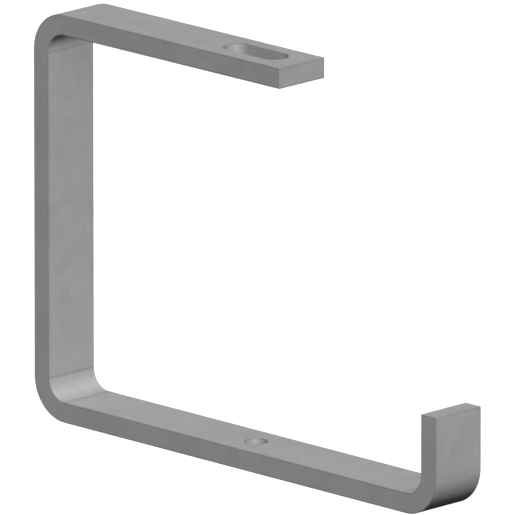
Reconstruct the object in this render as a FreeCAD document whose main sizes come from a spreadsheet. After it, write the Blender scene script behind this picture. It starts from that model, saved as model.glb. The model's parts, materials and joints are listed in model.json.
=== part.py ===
import FreeCAD, Part
import math
import os

import Sketcher

# Open-type cable hanger bracket: one flat steel bar, bent three times and pierced twice.
# The bends lie in the XZ plane with +Z up. The arm lies along X on the plane Z = 0, the web stands
# at its -X end, the lip turns up at its +X end, and the leg reaches from the web back over the arm.
# The leg's slot and the arm's hole share the Z axis, at the middle of the bracket's length.

# Driving dimensions, in millimetres
DIMENSIONS = {
    # outer face of the web to outer face of the lip
    "overall_length": 268.0,
    # underside of the arm to top of the leg
    "overall_height": 200.0,
    # underside of the arm to top of the lip
    "lip_height": 50.0,
    # section of the bar
    "bar_width": 30.0,
    "bar_thickness": 10.0,
    # inside of each bend
    "bend_radius": 10.0,
    # slot in the leg for the hanging rod, and the bar left beyond it
    "slot_length": 37.0,
    "slot_width": 13.5,
    "slot_end_margin": 12.0,
    # hole in the arm for a bolt
    "hole_diameter": 10.5,
    # dressed edges of the bar, and of the slot and hole
    "edge_radius": 0.3,
    "rim_radius": 0.3,
}

# Places that follow from them: the end of the leg, and the leg's lower face
LEG_END_X = DIMENSIONS["slot_length"] / 2 + DIMENSIONS["slot_end_margin"]
LEG_UNDER_Z = DIMENSIONS["overall_height"] - DIMENSIONS["bar_thickness"]

# Two points nearer than this are one point
TOUCH = 1e-4

# Ends of a line or arc, and the centre of an arc or circle, as sketch constraints number them
START, END, CENTRE = 1, 2, 3
# A sketch's own horizontal axis, which starts at the sketch's origin
AXIS = -1


def make_sheet(doc):
    """The driving dimensions, one row each: name and value."""
    sheet = doc.addObject("Spreadsheet::Sheet", "Dimensions")
    for row, (alias, value) in enumerate(DIMENSIONS.items(), start=1):
        sheet.set(f"A{row}", alias)
        sheet.set(f"B{row}", str(value))
        sheet.setAlias(f"B{row}", alias)
    doc.recompute()


def make_sketch(body, name, role, height=None):
    """An empty sketch on an origin plane of the body, raised along the plane's normal by height."""
    sketch = body.newObject("Sketcher::SketchObject", name)
    plane = next(feature for feature in body.Origin.OriginFeatures if feature.Role == role)
    sketch.AttachmentSupport = [(plane, "")]
    sketch.MapMode = "FlatFace"
    if height:
        sketch.setExpression("AttachmentOffset.Base.z", height)
    return sketch


def fix(sketch, kind, *geometry):
    """A constraint without a size."""
    sketch.addConstraint(Sketcher.Constraint(kind, *geometry))


def size(sketch, name, expression, kind, *geometry):
    """A named constraint whose size follows the sheet."""
    value = float(sketch.evalExpression(expression))
    index = sketch.addConstraint(Sketcher.Constraint(kind, *geometry, value))
    sketch.renameConstraint(index, name)
    sketch.setExpression(f"Constraints.{name}", expression)


def corner_arc(corner, before, after, radius):
    """The arc that rounds a right-angled corner, and which of its ends the outline meets first."""
    arrive = (corner - before).normalize()
    leave = (after - corner).normalize()
    centre = corner + (leave - arrive) * radius
    first = -leave
    last = arrive
    turns_left = arrive.cross(leave).z > 0
    begin = first if turns_left else last
    angle = math.atan2(begin.y, begin.x)
    circle = Part.Circle(centre, FreeCAD.Vector(0, 0, 1), radius)
    arc = Part.ArcOfCircle(circle, angle, angle + math.pi / 2)
    return arc, (START, END) if turns_left else (END, START)


def draw_bar_profile(sketch):
    """The bar seen from its side: ten straight runs, with an arc inside and outside each bend."""
    d = DIMENSIONS
    web_outer_x = -d["overall_length"] / 2
    web_inner_x = web_outer_x + d["bar_thickness"]
    lip_outer_x = d["overall_length"] / 2
    lip_inner_x = lip_outer_x - d["bar_thickness"]
    leg_top_z = d["overall_height"]
    arm_top_z = d["bar_thickness"]
    inside = d["bend_radius"]
    outside = inside + d["bar_thickness"]

    # Corners of the outline, anticlockwise, each with the radius that rounds it
    corners = [
        (LEG_END_X, LEG_UNDER_Z, 0),
        (LEG_END_X, leg_top_z, 0),
        (web_outer_x, leg_top_z, outside),
        (web_outer_x, 0, outside),
        (lip_outer_x, 0, outside),
        (lip_outer_x, d["lip_height"], 0),
        (lip_inner_x, d["lip_height"], 0),
        (lip_inner_x, arm_top_z, inside),
        (web_inner_x, arm_top_z, inside),
        (web_inner_x, LEG_UNDER_Z, inside),
    ]
    count = len(corners)
    points = [FreeCAD.Vector(x, z, 0) for x, z, _ in corners]
    radii = [radius for _, _, radius in corners]

    # The straight run that leaves each corner
    runs = list(range(count))
    leg_end, leg_top, web_outer, arm_under, lip_outer, lip_top = runs[:6]
    for i in runs:
        along = (points[(i + 1) % count] - points[i]).normalize()
        begin = points[i] + along * radii[i]
        finish = points[(i + 1) % count] - along * radii[(i + 1) % count]
        sketch.addGeometry(Part.LineSegment(begin, finish), False)
        fix(sketch, "Vertical" if i % 2 == 0 else "Horizontal", i)

    # The arc at each rounded corner is tangent to the runs beside it
    arcs = {}
    for i in runs:
        if not radii[i]:
            fix(sketch, "Coincident", i - 1 if i else count - 1, END, i, START)
            continue
        arc, (first, last) = corner_arc(points[i], points[i - 1], points[(i + 1) % count], radii[i])
        arcs[i] = sketch.addGeometry(arc, False)
        fix(sketch, "Tangent", i - 1, END, arcs[i], first)
        fix(sketch, "Tangent", arcs[i], last, i, START)

    # Both arcs of a bend share a centre, so the bar keeps its thickness round it
    upper_bend = (arcs[2], arcs[9])
    lower_bend = (arcs[3], arcs[8])
    lip_bend = (arcs[4], arcs[7])
    for outer, inner in (upper_bend, lower_bend, lip_bend):
        fix(sketch, "Coincident", outer, CENTRE, inner, CENTRE)
    fix(sketch, "Equal", upper_bend[1], lower_bend[1])
    fix(sketch, "Equal", lower_bend[1], lip_bend[1])

    fix(sketch, "PointOnObject", arm_under, START, AXIS)
    size(sketch, "bend", "Dimensions.bend_radius", "Radius", upper_bend[1])
    size(sketch, "thickness", "Dimensions.bar_thickness", "DistanceY", leg_end, START, leg_end, END)
    size(sketch, "length", "Dimensions.overall_length", "DistanceX", web_outer, START, lip_outer, START)
    size(sketch, "middle", "Dimensions.overall_length / 2", "DistanceX", web_outer, START, AXIS, START)
    size(sketch, "height", "Dimensions.overall_height", "DistanceY", AXIS, START, leg_top, START)
    size(sketch, "lip", "Dimensions.lip_height", "DistanceY", AXIS, START, lip_top, START)
    reach = "Dimensions.slot_length / 2 + Dimensions.slot_end_margin"
    size(sketch, "reach", reach, "DistanceX", AXIS, START, leg_end, START)


def draw_slot(sketch):
    """A round-ended slot along X, centred on the sketch's origin."""
    half_run = (DIMENSIONS["slot_length"] - DIMENSIONS["slot_width"]) / 2
    radius = DIMENSIONS["slot_width"] / 2
    normal = FreeCAD.Vector(0, 0, 1)
    right_centre = FreeCAD.Vector(half_run, 0, 0)
    side = FreeCAD.Vector(0, radius, 0)
    right_circle = Part.Circle(right_centre, normal, radius)
    left_circle = Part.Circle(-right_centre, normal, radius)
    front = sketch.addGeometry(Part.LineSegment(-right_centre - side, right_centre - side), False)
    right = sketch.addGeometry(Part.ArcOfCircle(right_circle, -math.pi / 2, math.pi / 2), False)
    back = sketch.addGeometry(Part.LineSegment(right_centre + side, -right_centre + side), False)
    left = sketch.addGeometry(Part.ArcOfCircle(left_circle, math.pi / 2, 3 * math.pi / 2), False)
    outline = (front, right, back, left)
    for i, piece in enumerate(outline):
        fix(sketch, "Tangent", piece, END, outline[(i + 1) % len(outline)], START)
    fix(sketch, "Horizontal", front)
    fix(sketch, "Equal", left, right)
    fix(sketch, "Symmetric", left, CENTRE, right, CENTRE, AXIS, START)
    run = "Dimensions.slot_length - Dimensions.slot_width"
    size(sketch, "run", run, "DistanceX", left, CENTRE, right, CENTRE)
    size(sketch, "end", "Dimensions.slot_width / 2", "Radius", right)


def draw_hole(sketch):
    """A circle centred on the sketch's origin."""
    circle = Part.Circle(FreeCAD.Vector(), FreeCAD.Vector(0, 0, 1), DIMENSIONS["hole_diameter"] / 2)
    hole = sketch.addGeometry(circle, False)
    fix(sketch, "Coincident", hole, CENTRE, AXIS, START)
    size(sketch, "bore", "Dimensions.hole_diameter", "Diameter", hole)


def pocket_down(body, name, sketch, depth):
    """A pocket from the sketch down to depth below it, which has to take material away."""
    before = body.Shape.Volume
    pocket = body.newObject("PartDesign::Pocket", name)
    pocket.Profile = sketch
    pocket.Type = "Length"
    pocket.setExpression("Length", depth)
    body.Document.recompute()
    if body.Shape.Volume > before - TOUCH:
        raise RuntimeError(f"{name} cut nothing away")


def dressed_edges(shape):
    """The edges along both sides of the bar and across its two cut ends."""
    d = DIMENSIONS
    chosen = []
    for number, edge in enumerate(shape.Edges, start=1):
        box = edge.BoundBox
        on_side = box.YLength < TOUCH and abs(abs(box.YMin) - d["bar_width"] / 2) < TOUCH
        across = abs(box.YLength - d["bar_width"]) < TOUCH
        on_leg_end = abs(box.XMin - LEG_END_X) < TOUCH
        on_lip_top = abs(box.ZMin - d["lip_height"]) < TOUCH
        if on_side or (across and (on_leg_end or on_lip_top)):
            chosen.append(f"Edge{number}")
    return chosen


def rim_edges(shape):
    """The edges round both mouths of the slot and of the hole."""
    d = DIMENSIONS
    chosen = []
    for number, edge in enumerate(shape.Edges, start=1):
        box = edge.BoundBox
        on_leg = box.ZMin > LEG_UNDER_Z - TOUCH
        half_x = (d["slot_length"] if on_leg else d["hole_diameter"]) / 2
        half_y = (d["slot_width"] if on_leg else d["hole_diameter"]) / 2
        inside_x = max(-box.XMin, box.XMax) < half_x + TOUCH
        inside_y = max(-box.YMin, box.YMax) < half_y + TOUCH
        if inside_x and inside_y and box.ZLength < TOUCH:
            chosen.append(f"Edge{number}")
    return chosen


def round_edges(body, name, choose, radius):
    """Rounds the edges that choose picks from the body so far."""
    base = body.Tip
    fillet = body.newObject("PartDesign::Fillet", name)
    fillet.Base = (base, choose(base.Shape))
    fillet.setExpression("Radius", radius)
    body.Document.recompute()


def make_hanger_bracket(doc):
    """The bent bar: its side profile across its width, then slot, hole and dressed edges."""
    body = doc.addObject("PartDesign::Body", "HangerBracket")
    body.Label = "hanger_bracket"
    body.Placement = FreeCAD.Placement()

    profile = make_sketch(body, "BarProfile", "XZ_Plane")
    draw_bar_profile(profile)
    bar = body.newObject("PartDesign::Pad", "BentBar")
    bar.Profile = profile
    bar.SideType = "Symmetric"
    bar.setExpression("Length", "Dimensions.bar_width")
    doc.recompute()

    slot = make_sketch(body, "SlotOutline", "XY_Plane", "Dimensions.overall_height")
    draw_slot(slot)
    pocket_down(body, "HangingSlot", slot, "Dimensions.bar_thickness")

    hole = make_sketch(body, "HoleOutline", "XY_Plane", "Dimensions.bar_thickness")
    draw_hole(hole)
    pocket_down(body, "ArmHole", hole, "Dimensions.bar_thickness")

    round_edges(body, "BarEdges", dressed_edges, "Dimensions.edge_radius")
    round_edges(body, "HoleRims", rim_edges, "Dimensions.rim_radius")
    return body


def check(doc, bodies):
    """Stops if anything failed to compute or a sub-part isn't a valid solid."""
    for item in doc.Objects:
        if {"Invalid", "Error"} & set(item.State):
            raise RuntimeError(f"{item.Label} failed: {item.State}")
    for body in bodies:
        if body.Shape.isNull() or not body.Shape.isValid() or len(body.Shape.Solids) != 1:
            raise RuntimeError(f"{body.Label} isn't one valid solid")


def main():
    doc = FreeCAD.newDocument("CableHangerBracket")
    make_sheet(doc)
    bodies = [make_hanger_bracket(doc)]
    doc.recompute()
    check(doc, bodies)
    os.makedirs("parts", exist_ok=True)
    for body in bodies:
        body.Shape.exportStep(f"parts/{body.Label}.step")
        box = body.Shape.optimalBoundingBox(False)
        print(f"{body.Label}: {box.XLength:.2f} x {box.YLength:.2f} x {box.ZLength:.2f} mm,", end=" ")
        print(f"{body.Shape.Volume / 1000:.2f} cm3, {len(body.Shape.Faces)} faces")


main()
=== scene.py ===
import json

import bmesh
import bpy
import numpy as np
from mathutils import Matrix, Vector


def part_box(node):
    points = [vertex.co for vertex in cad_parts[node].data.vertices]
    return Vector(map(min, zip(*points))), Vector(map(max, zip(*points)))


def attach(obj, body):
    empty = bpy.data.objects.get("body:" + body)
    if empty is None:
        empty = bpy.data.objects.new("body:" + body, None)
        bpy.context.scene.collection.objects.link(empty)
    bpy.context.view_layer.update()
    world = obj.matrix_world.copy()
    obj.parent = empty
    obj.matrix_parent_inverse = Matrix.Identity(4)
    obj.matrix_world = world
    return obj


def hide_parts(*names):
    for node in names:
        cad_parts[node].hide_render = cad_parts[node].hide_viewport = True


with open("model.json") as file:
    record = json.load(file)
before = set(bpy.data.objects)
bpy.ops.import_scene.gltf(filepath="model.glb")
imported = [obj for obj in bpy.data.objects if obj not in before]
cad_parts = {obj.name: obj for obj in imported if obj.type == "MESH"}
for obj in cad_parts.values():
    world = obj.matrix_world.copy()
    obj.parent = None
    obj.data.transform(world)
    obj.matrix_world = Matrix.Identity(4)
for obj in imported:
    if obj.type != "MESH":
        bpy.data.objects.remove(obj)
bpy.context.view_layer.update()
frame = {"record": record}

# An open-type cable hanger: one flat bar, pierced, bent three times and dipped in zinc.
# The bar is drawn straight, by three distances: along it from the end of the leg, across its width,
# and through its thickness towards the inside of the bends. Then every point is carried round the bends.

# Sizes from the frame, in metres
NODE = "hanger_bracket"
MM_IN_METRE = 1000
LOW, HIGH = (np.array(corner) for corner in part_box(NODE))
LENGTH, WIDTH, HEIGHT = HIGH - LOW
MOUNTS = {mount["name"]: mount for mount in frame["record"]["mounts"]}
THICKNESS = MOUNTS["arm_seat"]["pos_m"][2]
SLOT_RADIUS = MOUNTS["hanging_slot"]["dims"]["hole_r_mm"] / MM_IN_METRE
SLOT_LENGTH = MOUNTS["hanging_slot"]["dims"]["slot_length_mm"] / MM_IN_METRE
HOLE_RADIUS = MOUNTS["arm_hole"]["dims"]["r_mm"] / MM_IN_METRE

# Sizes of the bends, the lip and the dressed edges, in metres
BEND_RADIUS = 0.010
LIP_HEIGHT = 0.050
SLOT_END_MARGIN = 0.012
EDGE_RADIUS = 0.0003
RIM_RADIUS = 0.0003

# The bar's stretches, from the end of the leg to the top of the lip: their lengths and their turns
QUARTER_TURN = np.pi / 2
OUTER_RADIUS = BEND_RADIUS + THICKNESS
LEG_REACH = SLOT_LENGTH / 2 + SLOT_END_MARGIN
BEND_RUN = (BEND_RADIUS + THICKNESS / 2) * QUARTER_TURN
LEG, UPPER_BEND, WEB, LOWER_BEND, ARM, LIP_BEND, LIP = range(7)
RUNS = np.array([
    LEG_REACH + LENGTH / 2 - OUTER_RADIUS,
    BEND_RUN,
    HEIGHT - 2 * OUTER_RADIUS,
    BEND_RUN,
    LENGTH - 2 * OUTER_RADIUS,
    BEND_RUN,
    LIP_HEIGHT - OUTER_RADIUS,
])
TURNS = np.array([0, 1, 0, 1, 0, 1, 0]) * QUARTER_TURN

# Where each stretch starts along the bar, and its heading there, which is towards -X for the leg
MARKS = np.concatenate([[0], np.cumsum(RUNS)])
HEADINGS = np.pi + np.concatenate([[0], np.cumsum(TURNS)])
BAR_LENGTH = MARKS[-1]

# Where the slot and the hole lie along the bar, and how far the plate round each one reaches
SLOT_AT = LEG_REACH
SLOT_HALF_RUN = SLOT_LENGTH / 2 - SLOT_RADIUS
HOLE_AT = MARKS[ARM] + RUNS[ARM] / 2
PLATE_MARGIN = 0.005

# Points round the bar's section, steps along it in metres, and steps in its round stretches and plates
FLAT_POINTS = 41
SIDE_POINTS = 15
CORNER_POINTS = 4
FINE_STEP = 0.0007
COARSE_STEP = 0.004
BEND_STEPS = 32
END_STEPS = 6
RIM_STEPS = 6
WALL_STEPS = 8
PLATE_STEPS = 8

# Points nearer than this are one point
WELD = 2e-6

# The finish's distances: weights of wall depth and of the way along the arm, and the outside's offset
WALL_DEPTH_COUNT = 2.5
ARM_LINE_COUNT = 0.35
OUTER_LINE_OFFSET = 0.0006


def eased(half, count):
    """count points from -half to half, closing up at both ends as the sine of an even turn does."""
    return half * np.sin(np.linspace(-QUARTER_TURN, QUARTER_TURN, count))


def bend(along, across, through):
    """Carries points of the straight bar round its bends.

    The heading grows evenly with distance in a bend and stays in a straight stretch. A stretch of
    length d that turns by a is a chord of d * sin(a/2) / (a/2) at the mean heading, which is exact
    for both.
    """
    chords = RUNS * np.sinc(TURNS / 2 / np.pi)
    middles = HEADINGS[:-1] + TURNS / 2
    steps = np.stack([chords * np.cos(middles), chords * np.sin(middles)], axis=1)
    start = np.array([LEG_REACH, HEIGHT - THICKNESS / 2])
    corners = start + np.concatenate([[[0, 0]], np.cumsum(steps, axis=0)])
    run = np.clip(np.searchsorted(MARKS, along, side="right") - 1, 0, len(RUNS) - 1)
    past = along - MARKS[run]
    turned = past / RUNS[run] * TURNS[run]
    chord = past * np.sinc(turned / 2 / np.pi)
    middle = HEADINGS[run] + turned / 2
    heading = HEADINGS[run] + turned
    x = corners[run, 0] + chord * np.cos(middle) - through * np.sin(heading)
    z = corners[run, 1] + chord * np.sin(middle) + through * np.cos(heading)
    return np.stack([x, across, z], axis=-1)


def section_ring():
    """The section as core points and outward directions, each a pair (across, through).

    A point of the section is core + direction * radius. The core runs round a rectangle one edge
    radius inside the faces, and the direction turns a quarter circle at each of its corners.
    """
    flat = eased(WIDTH / 2 - EDGE_RADIUS, FLAT_POINTS)
    side = eased(THICKNESS / 2 - EDGE_RADIUS, SIDE_POINTS)
    corner_turns = np.linspace(0, QUARTER_TURN, CORNER_POINTS + 2)[1:-1]
    cores, angles = [], []
    for quarter in range(4):
        angle = (quarter - 1) * QUARTER_TURN
        outward = np.array([np.cos(angle), np.sin(angle)])
        onward = np.array([-np.sin(angle), np.cos(angle)])
        face, depth = (flat, side[-1]) if quarter % 2 == 0 else (side, flat[-1])
        points = outward * depth + onward * face[:, None]
        cores += [points, np.repeat(points[-1:], CORNER_POINTS, axis=0)]
        angles += [np.full(len(face), angle), angle + corner_turns]
    angles = np.concatenate(angles)
    return np.concatenate(cores), np.stack([np.cos(angles), np.sin(angles)], axis=1)


def stations():
    """Distances along the bar: close together at its ends, in the bends and beside slot and hole."""
    rounding = EDGE_RADIUS * (1 - np.cos(np.linspace(0, QUARTER_TURN, END_STEPS + 1)))
    slot_reach = SLOT_LENGTH / 2 + PLATE_MARGIN
    hole_reach = HOLE_RADIUS + PLATE_MARGIN
    bend_step = BEND_RUN / BEND_STEPS
    stretches = [
        (MARKS[LEG] + EDGE_RADIUS, SLOT_AT - slot_reach, FINE_STEP),
        (SLOT_AT - slot_reach, SLOT_AT + slot_reach, FINE_STEP),
        (SLOT_AT + slot_reach, MARKS[UPPER_BEND], COARSE_STEP),
        (MARKS[UPPER_BEND], MARKS[WEB], bend_step),
        (MARKS[WEB], MARKS[LOWER_BEND], COARSE_STEP),
        (MARKS[LOWER_BEND], MARKS[ARM], bend_step),
        (MARKS[ARM], HOLE_AT - hole_reach, COARSE_STEP),
        (HOLE_AT - hole_reach, HOLE_AT + hole_reach, FINE_STEP),
        (HOLE_AT + hole_reach, MARKS[LIP_BEND], COARSE_STEP),
        (MARKS[LIP_BEND], MARKS[LIP], bend_step),
        (MARKS[LIP], BAR_LENGTH - EDGE_RADIUS, COARSE_STEP),
    ]
    between = [np.linspace(a, b, round((b - a) / step) + 1)[:-1] for a, b, step in stretches]
    return np.concatenate([rounding[:-1], *between, BAR_LENGTH - rounding[::-1]])


def quads(rows, columns, closed):
    """A grid's cells as four point numbers each; closed joins the last column to the first."""
    number = np.arange(rows * columns).reshape(rows, columns)
    onward = np.roll(number, -1, axis=1)
    cells = np.stack([number[:-1], number[1:], onward[1:], onward[:-1]], axis=-1)
    return cells if closed else cells[:, :-1]


def bar_skin(places):
    """The section carried along the bar, with a window left open on both flats round slot and hole.

    The section's radius falls to nothing at both ends as a quarter circle does, so the cut ends have
    the same rounded edges as the sides.
    """
    core, outward = section_ring()
    to_end = np.minimum(np.minimum(places, BAR_LENGTH - places), EDGE_RADIUS)
    radius = EDGE_RADIUS * np.sqrt(1 - (1 - to_end / EDGE_RADIUS) ** 2)
    section = core[None] + outward[None] * radius[:, None, None]
    along = np.repeat(places[:, None], len(core), axis=1)
    points = np.concatenate([along[..., None], section], axis=-1).reshape(-1, 3)
    cells = quads(len(places), len(core), closed=True)

    # The section starts with the outer flat, and the inner one is half way round it
    kept = np.ones(cells.shape[:2], bool)
    middles = (places[:-1] + places[1:]) / 2
    for centre, reach in ((SLOT_AT, SLOT_LENGTH / 2), (HOLE_AT, HOLE_RADIUS)):
        window = np.abs(middles - centre) < reach + PLATE_MARGIN
        for first in (0, len(core) // 2):
            kept[np.ix_(window, np.arange(first, first + FLAT_POINTS - 1))] = False
    used, cells = np.unique(cells[kept], return_inverse=True)
    return points[used], cells.reshape(-1, 4)


def cut_end(place):
    """The flat face across one end of the bar, inside its rounded edges."""
    across, through = np.meshgrid(
        eased(WIDTH / 2 - EDGE_RADIUS, FLAT_POINTS),
        eased(THICKNESS / 2 - EDGE_RADIUS, SIDE_POINTS),
        indexing="ij",
    )
    points = np.stack([np.full_like(across, place), across, through], axis=-1)
    return points.reshape(-1, 3), quads(FLAT_POINTS, SIDE_POINTS, closed=False).reshape(-1, 4)


def window_border(places, centre, reach):
    """The points round a window of the bar's flat, in order, each a pair (along, across)."""
    window = places[np.abs(places - centre) < reach + PLATE_MARGIN + WELD]
    flat = eased(WIDTH / 2 - EDGE_RADIUS, FLAT_POINTS)
    along = np.concatenate([
        window[:-1],
        np.full(len(flat) - 1, window[-1]),
        window[:0:-1],
        np.full(len(flat) - 1, window[0]),
    ])
    across = np.concatenate([
        np.full(len(window) - 1, flat[0]),
        flat[:-1],
        np.full(len(window) - 1, flat[-1]),
        flat[:0:-1],
    ])
    return np.stack([along, across], axis=1)


def pierced_plate(places, centre, half_run, radius):
    """Both flats round an opening, and the opening's wall between them, as one closed band.

    Each point of the window's border looks at the nearest point of the opening's mid line, and the
    band follows that direction: straight over the flat, a quarter circle over the rim, down the
    wall, and back the same way on the other side. A round hole has a mid line of no length.
    """
    border = window_border(places, centre, half_run + radius)
    middle = np.stack([
        np.clip(border[:, 0], centre - half_run, centre + half_run),
        np.zeros(len(border)),
    ], axis=1)
    reach = np.linalg.norm(border - middle, axis=1)
    outward = (border - middle) / reach[:, None]

    # One side of the band: share of the way to the rim, clearance from the wall, depth below the flat
    inwards = np.sin(np.linspace(0, QUARTER_TURN, PLATE_STEPS + 1))[:-1]
    turn = np.linspace(0, QUARTER_TURN, RIM_STEPS + 1)
    wall = np.linspace(RIM_RADIUS, THICKNESS / 2, WALL_STEPS)[1:]
    share = np.concatenate([inwards, np.ones(len(turn) + len(wall))])
    clear = np.concatenate([
        np.full(len(inwards), RIM_RADIUS),
        RIM_RADIUS * (1 - np.sin(turn)),
        np.zeros(len(wall)),
    ])
    depth = np.concatenate([np.zeros(len(inwards)), RIM_RADIUS * (1 - np.cos(turn)), wall])

    # The other side mirrors it about the middle of the bar's thickness
    share = np.concatenate([share, share[-2::-1]])[:, None]
    clear = np.concatenate([clear, clear[-2::-1]])[:, None]
    through = np.concatenate([depth - THICKNESS / 2, THICKNESS / 2 - depth[-2::-1]])
    distance = reach * (1 - share) + (radius + clear) * share
    plan = middle[None] + outward[None] * distance[..., None]
    levels = np.repeat(through[:, None], len(border), axis=1)
    points = np.concatenate([plan, levels[..., None]], axis=-1)
    return points.reshape(-1, 3), quads(len(through), len(border), closed=True).reshape(-1, 4)


def edge_distance(straight):
    """How far each point lies from the nearest outer edge of the bar.

    A surface point lies at no depth under its own face, so the second smallest of its depths, under
    the sides, the flats and the ends, is its distance to an edge.
    """
    along, across, through = straight.T
    depths = np.stack([
        WIDTH / 2 - np.abs(across),
        THICKNESS / 2 - np.abs(through),
        np.minimum(along, BAR_LENGTH - along),
    ])
    return np.sort(depths, axis=0)[1]


def wall_distance(straight):
    """How far each point lies, in plan, from the nearest wall of the slot or the hole.

    It is the distance to the opening's mid line, less the opening's radius, without its sign.
    """
    along, across, _ = straight.T
    past_slot = np.maximum(np.abs(along - SLOT_AT) - SLOT_HALF_RUN, 0)
    to_slot = np.abs(np.hypot(past_slot, across) - SLOT_RADIUS)
    to_hole = np.abs(np.hypot(along - HOLE_AT, across) - HOLE_RADIUS)
    return np.minimum(to_slot, to_hole)


def rim_distance(straight):
    """How far each point lies from the nearest rim of the slot or the hole.

    It is the distance in plan to the opening's wall, plus the depth below the flats, which counts
    several times over, so that a ring of painted shade drawn by it stays narrow down the wall.
    """
    depth = THICKNESS / 2 - np.abs(straight[:, 2])
    return wall_distance(straight) + WALL_DEPTH_COUNT * depth


def bend_line_distance(straight):
    """How far each point lies from a line where a bend starts or ends, on the bar's two flats.

    It is the distance along the bar to the nearest such place, plus the depth below the flats. On
    the arm the distance along the bar counts for less, so that the lines reach further there. The
    outer half of the bar lies a set amount further off, so that the lines are fainter there.
    """
    along, _, through = straight.T
    lines = MARKS[UPPER_BEND:LIP + 1]
    nearest = np.abs(along[:, None] - lines).min(axis=1)
    on_arm = (along > MARKS[ARM]) & (along < MARKS[LIP_BEND])
    nearest = np.where(on_arm, ARM_LINE_COUNT, 1) * nearest
    return nearest + THICKNESS / 2 - np.abs(through) + OUTER_LINE_OFFSET * (through < 0)


def weld(mesh):
    """Joins the patches where their borders meet and turns every face outwards."""
    work = bmesh.new()
    work.from_mesh(mesh)
    bmesh.ops.remove_doubles(work, verts=work.verts, dist=WELD)
    bmesh.ops.recalc_face_normals(work, faces=work.faces)
    work.to_mesh(mesh)
    work.free()


def make_bent_bar():
    """The whole bar as one closed mesh, with the measures that its finish follows on each point."""
    places = stations()
    patches = [
        bar_skin(places),
        cut_end(0),
        cut_end(BAR_LENGTH),
        pierced_plate(places, SLOT_AT, SLOT_HALF_RUN, SLOT_RADIUS),
        pierced_plate(places, HOLE_AT, 0, HOLE_RADIUS),
    ]
    starts = np.cumsum([0] + [len(points) for points, _ in patches[:-1]])
    straight = np.concatenate([points for points, _ in patches])
    cells = np.concatenate([cells + start for (_, cells), start in zip(patches, starts)])

    mesh = bpy.data.meshes.new("bent_bar")
    mesh.from_pydata(bend(*straight.T), [], cells)
    unbent = mesh.attributes.new("unbent", "FLOAT_VECTOR", "POINT")
    unbent.data.foreach_set("vector", straight.astype(np.float32).ravel())
    # What the finish follows: edge, wall and rim place its painted shade, bend_line its bend marks
    measures = {
        "edge": edge_distance,
        "wall": wall_distance,
        "rim": rim_distance,
        "bend_line": bend_line_distance,
    }
    for name, measure in measures.items():
        attribute = mesh.attributes.new(name, "FLOAT", "POINT")
        attribute.data.foreach_set("value", measure(straight).astype(np.float32))
    weld(mesh)
    mesh.polygons.foreach_set("use_smooth", np.ones(len(mesh.polygons), bool))
    piece = bpy.data.objects.new("bent_bar", mesh)
    bpy.context.scene.collection.objects.link(piece)
    return piece


# Zinc coat: its darkest and lightest grey, and how much of it shines as bare metal does
ZINC_DARK = (0.105, 0.105, 0.106, 1)
ZINC_LIGHT = (0.525, 0.525, 0.528, 1)
METAL_SHARE = 0.15

# Its soft patterns: patches per metre, layers of finer patches, and how much each finer layer counts
CLOUDS = {"Scale": 40, "Detail": 4.0, "Roughness": 0.55}
PIMPLES = {"Scale": 1300, "Detail": 2.0, "Roughness": 0.5}

# The drawn grain is counted in streaks, and these are the streaks per metre along, across and through
GRAIN = {"Scale": 1.0, "Detail": 3.0, "Roughness": 0.6}
GRAIN_STREAKS = (60, 1100, 1100)

# Crystals per metre, and the values that most of a soft pattern lies between
CRYSTALS = 150
PATTERN_LOW, PATTERN_HIGH = 0.3, 0.7

# How far each pattern swings the tone, from 0 at the darkest grey to 1 at the lightest
MIDDLE_TONE = 0.5
CLOUD_TONE = 0.028
CRYSTAL_TONE = 0.023
GRAIN_TONE = 0.024

# How much darker the coat is where each of the bar's measures is nothing, and how far that reaches.
# At the edges, on the walls and at the rims this is painted shade; at the bend lines it is a mark.
PAINTED_SHADE_AND_BEND_LINES = {
    # Painted shade along the edges, against the light that their rounding catches
    "edge": (0.24, 0.0009),
    # Painted shade on the walls of the slot and the hole, against light bounced inside them
    "wall": (0.08, RIM_RADIUS),
    # Painted shade: a dark ring round the rims of the slot and the hole
    "rim": (0.40, 0.0009),
    # Dark marks where the bends start and end
    "bend_line": (0.17, 0.0011),
}

# How dull the coat is, and how far its patterns swing that
ROUGHNESS = 0.52
CLOUD_ROUGHNESS = 0.04
CRYSTAL_ROUGHNESS = 0.03

# Its relief: full height in metres, how strongly it shows, and how far grain and pimples each swing it
RELIEF_DEPTH = 0.0002
RELIEF_STRENGTH = 0.15
RELIEF_SWING = 0.25

# The places of a colour mix's sockets, which share their names with those of its other kinds
MIX_FACTOR, MIX_FIRST, MIX_SECOND, MIX_RESULT = 0, 6, 7, 2


def node(tree, kind, **values):
    """A new node; a value sets the input of that name, or else the property."""
    made = tree.nodes.new(kind)
    for name, value in values.items():
        if name in made.inputs:
            made.inputs[name].default_value = value
        else:
            setattr(made, name, value)
    return made


def carried(tree, name):
    """What the bar's points carry under a name."""
    return node(tree, "ShaderNodeAttribute", attribute_name=name)


def noise(tree, place, pattern):
    """A soft cloudy pattern, most of it between the low and the high value."""
    made = node(tree, "ShaderNodeTexNoise", **pattern)
    tree.links.new(place, made.inputs["Vector"])
    return made.outputs["Fac"]


def spread(tree, source, bottom, top, low, high):
    """Takes a pattern from between bottom and top to between low and high, and no further."""
    made = node(tree, "ShaderNodeMapRange")
    tree.links.new(source, made.inputs["Value"])
    for name, value in zip(("From Min", "From Max", "To Min", "To Max"), (bottom, top, low, high)):
        made.inputs[name].default_value = value
    return made.outputs["Result"]


def swing(tree, pattern, middle, amount):
    """Makes a soft cloudy pattern swing by an amount either way about a middle value."""
    return spread(tree, pattern, PATTERN_LOW, PATTERN_HIGH, middle - amount, middle + amount)


def total(tree, first, *others):
    """The sum of several patterns."""
    for other in others:
        made = node(tree, "ShaderNodeMath", operation="ADD")
        tree.links.new(first, made.inputs[0])
        tree.links.new(other, made.inputs[1])
        first = made.outputs["Value"]
    return first


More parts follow.
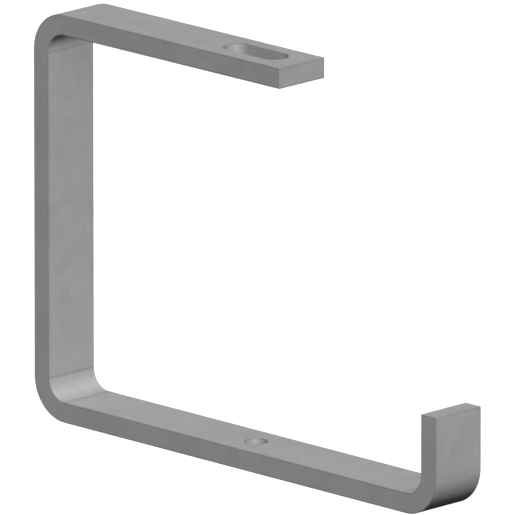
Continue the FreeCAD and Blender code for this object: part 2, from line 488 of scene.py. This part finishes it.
def zinc_coat():
    """Dull dipped zinc on rolled bar.

    Soft clouds and faint crystals lie over the bar's drawn grain, which runs round the bends. Painted
    shade makes the coat a little darker along the edges, against the light that their rounding catches,
    and on the walls of the slot and the hole, against the light bounced inside them. Thin dark lines of
    painted shade follow their rims, and thin dark marks show where each bend starts and ends.
    """
    material = bpy.data.materials.new("zinc_coat")
    material.use_nodes = True
    tree = material.node_tree
    shader = tree.nodes["Principled BSDF"]
    shader.inputs["Metallic"].default_value = METAL_SHARE

    place = node(tree, "ShaderNodeTexCoord").outputs["Object"]
    drawn = node(tree, "ShaderNodeMapping", Scale=GRAIN_STREAKS)
    tree.links.new(carried(tree, "unbent").outputs["Vector"], drawn.inputs["Vector"])
    clouds = noise(tree, place, CLOUDS)
    grain = noise(tree, drawn.outputs["Vector"], GRAIN)
    pimples = noise(tree, place, PIMPLES)
    spangle = node(tree, "ShaderNodeTexVoronoi", Scale=CRYSTALS)
    tree.links.new(place, spangle.inputs["Vector"])
    crystal = node(tree, "ShaderNodeSeparateColor")
    tree.links.new(spangle.outputs["Color"], crystal.inputs["Color"])

    # Painted shade at the edges, on the walls and at the rims, and the dark bend marks
    darker = [
        spread(tree, carried(tree, name).outputs["Fac"], 0, reach, -amount, 0)
        for name, (amount, reach) in PAINTED_SHADE_AND_BEND_LINES.items()
    ]
    tone = total(
        tree,
        swing(tree, clouds, MIDDLE_TONE, CLOUD_TONE),
        swing(tree, grain, 0, GRAIN_TONE),
        spread(tree, crystal.outputs["Red"], 0, 1, -CRYSTAL_TONE, CRYSTAL_TONE),
        *darker,
    )
    colour = node(tree, "ShaderNodeMix", data_type="RGBA")
    colour.inputs[MIX_FIRST].default_value = ZINC_DARK
    colour.inputs[MIX_SECOND].default_value = ZINC_LIGHT
    tree.links.new(tone, colour.inputs[MIX_FACTOR])
    tree.links.new(colour.outputs[MIX_RESULT], shader.inputs["Base Color"])

    roughness = total(
        tree,
        swing(tree, clouds, ROUGHNESS, -CLOUD_ROUGHNESS),
        spread(tree, crystal.outputs["Green"], 0, 1, -CRYSTAL_ROUGHNESS, CRYSTAL_ROUGHNESS),
    )
    tree.links.new(roughness, shader.inputs["Roughness"])

    relief = total(
        tree,
        swing(tree, grain, RELIEF_SWING, RELIEF_SWING),
        swing(tree, pimples, RELIEF_SWING, RELIEF_SWING),
    )
    bump = node(tree, "ShaderNodeBump", Strength=RELIEF_STRENGTH, Distance=RELIEF_DEPTH)
    tree.links.new(relief, bump.inputs["Height"])
    tree.links.new(bump.outputs["Normal"], shader.inputs["Normal"])
    return material


# The stage: a pale floor just under the bar, in an even pale surround
FLOOR_HALF = 6.0
FLOOR_DROP = 0.00005
FLOOR_SEEN = (0.90, 0.90, 0.90, 1)
FLOOR_BOUNCE = (0.034, 0.034, 0.034, 1)
SURROUND_SEEN = (1.0, 1.0, 1.0, 1)
SURROUND_LIGHT = (0.03, 0.03, 0.03, 1)

# The lights: the direction each comes from, its strength, and how wide it is in degrees
KEY = {"side": (0.62, -0.415, 0.68), "strength": 0.7, "width": 40}
FRONT_FILL = {"side": KEY["side"], "strength": 4.85, "width": 10}
BACK_FILL = {"side": (-0.85, 0.50, 0.0), "strength": 3.6, "width": 50}
BACK_GLINT = {"side": (0.13, 0.68, 0.72), "strength": 0.46, "width": 30}
FRONT_GLINT = {"side": (0.78, -0.57, -0.26), "strength": 1.6, "width": 30}

# The camera: the direction it looks from, and the point on its axis, for a frame as wide as it is high
CAMERA_AZIMUTH = np.radians(44.956)
CAMERA_ELEVATION = np.radians(14.841)
CAMERA_DISTANCE = 11.047
CAMERA_SIGHT = 10 * CAMERA_DISTANCE
CAMERA_HALF_ANGLE = np.radians(0.631)
AIM_RIGHT = 0.00069
AIM_UP = 0.09651


def seen_and_lit(tree, kind, output_kind, seen, lit):
    """One shader for what the camera sees and another for the light that reaches the bar."""
    tree.nodes.clear()
    path = node(tree, "ShaderNodeLightPath")
    mix = node(tree, "ShaderNodeMixShader")
    output = node(tree, output_kind)
    tree.links.new(path.outputs["Is Camera Ray"], mix.inputs["Fac"])
    for socket, colour in zip(mix.inputs[1:], (lit, seen)):
        tree.links.new(node(tree, kind, Color=colour).outputs[0], socket)
    tree.links.new(mix.outputs["Shader"], output.inputs["Surface"])


def floor():
    """A plain pale floor that throws little light back up at the undersides."""
    mesh = bpy.data.meshes.new("floor")
    corners = [(-1, -1), (1, -1), (1, 1), (-1, 1)]
    points = [(x * FLOOR_HALF, y * FLOOR_HALF, -FLOOR_DROP) for x, y in corners]
    mesh.from_pydata(points, [], [(0, 1, 2, 3)])
    material = bpy.data.materials.new("pale_floor")
    material.use_nodes = True
    seen_and_lit(
        material.node_tree, "ShaderNodeBsdfDiffuse", "ShaderNodeOutputMaterial", FLOOR_SEEN, FLOOR_BOUNCE
    )
    mesh.materials.append(material)
    piece = bpy.data.objects.new("floor", mesh)
    bpy.context.scene.collection.objects.link(piece)
    return piece


def surround():
    """An even pale surround as bright as the floor, which lights the bar only faintly."""
    world = bpy.data.worlds.new("surround")
    world.use_nodes = True
    seen_and_lit(
        world.node_tree, "ShaderNodeBackground", "ShaderNodeOutputWorld", SURROUND_SEEN, SURROUND_LIGHT
    )
    bpy.context.scene.world = world


def soft_light(name, side, strength, width, casts_shadow=False, brightens=True, shines=False):
    """A broad even light from one side, which brightens the faces, shines in their gloss or both."""
    light = bpy.data.lights.new(name, "SUN")
    light.energy = strength
    light.angle = np.radians(width)
    light.use_shadow = casts_shadow
    lamp = bpy.data.objects.new(name, light)
    lamp.visible_diffuse = brightens
    lamp.visible_glossy = shines
    lamp.rotation_euler = (-Vector(side)).to_track_quat("-Z", "Y").to_euler()
    bpy.context.scene.collection.objects.link(lamp)


def studio_lights():
    """Light from the front, right and above, most of it without shadow or gloss, and three helpers.

    The back fill lights the bar's back. The glints show in the gloss alone: the back one in the lower
    bend, and the front one in the round ends of the slot and the hole. The front one comes from under
    the floor's level, so that no upward face catches it.
    """
    soft_light("key", **KEY, casts_shadow=True, shines=True)
    soft_light("front_fill", **FRONT_FILL)
    soft_light("back_fill", **BACK_FILL)
    soft_light("back_glint", **BACK_GLINT, brightens=False, shines=True)
    soft_light("front_glint", **FRONT_GLINT, brightens=False, shines=True)


def camera():
    """A very long lens, so that the bar's parallel edges stay parallel."""
    data = bpy.data.cameras.new("camera")
    data.sensor_fit = "HORIZONTAL"
    data.lens = data.sensor_width / 2 / np.tan(CAMERA_HALF_ANGLE)
    data.clip_end = CAMERA_SIGHT
    sin_a, cos_a = np.sin(CAMERA_AZIMUTH), np.cos(CAMERA_AZIMUTH)
    sin_e, cos_e = np.sin(CAMERA_ELEVATION), np.cos(CAMERA_ELEVATION)
    back = Vector((sin_a * cos_e, -cos_a * cos_e, sin_e))
    right = Vector((cos_a, sin_a, 0))
    up = back.cross(right)
    eye = bpy.data.objects.new("camera", data)
    eye.location = right * AIM_RIGHT + up * AIM_UP + back * CAMERA_DISTANCE
    eye.rotation_euler = back.to_track_quat("Z", "Y").to_euler()
    bpy.context.scene.collection.objects.link(eye)
    bpy.context.scene.camera = eye


bar = make_bent_bar()
bar.data.materials.append(zinc_coat())
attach(bar, "root")
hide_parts(NODE)

floor()
surround()
studio_lights()
camera()
bpy.context.scene.view_settings.view_transform = "Standard"
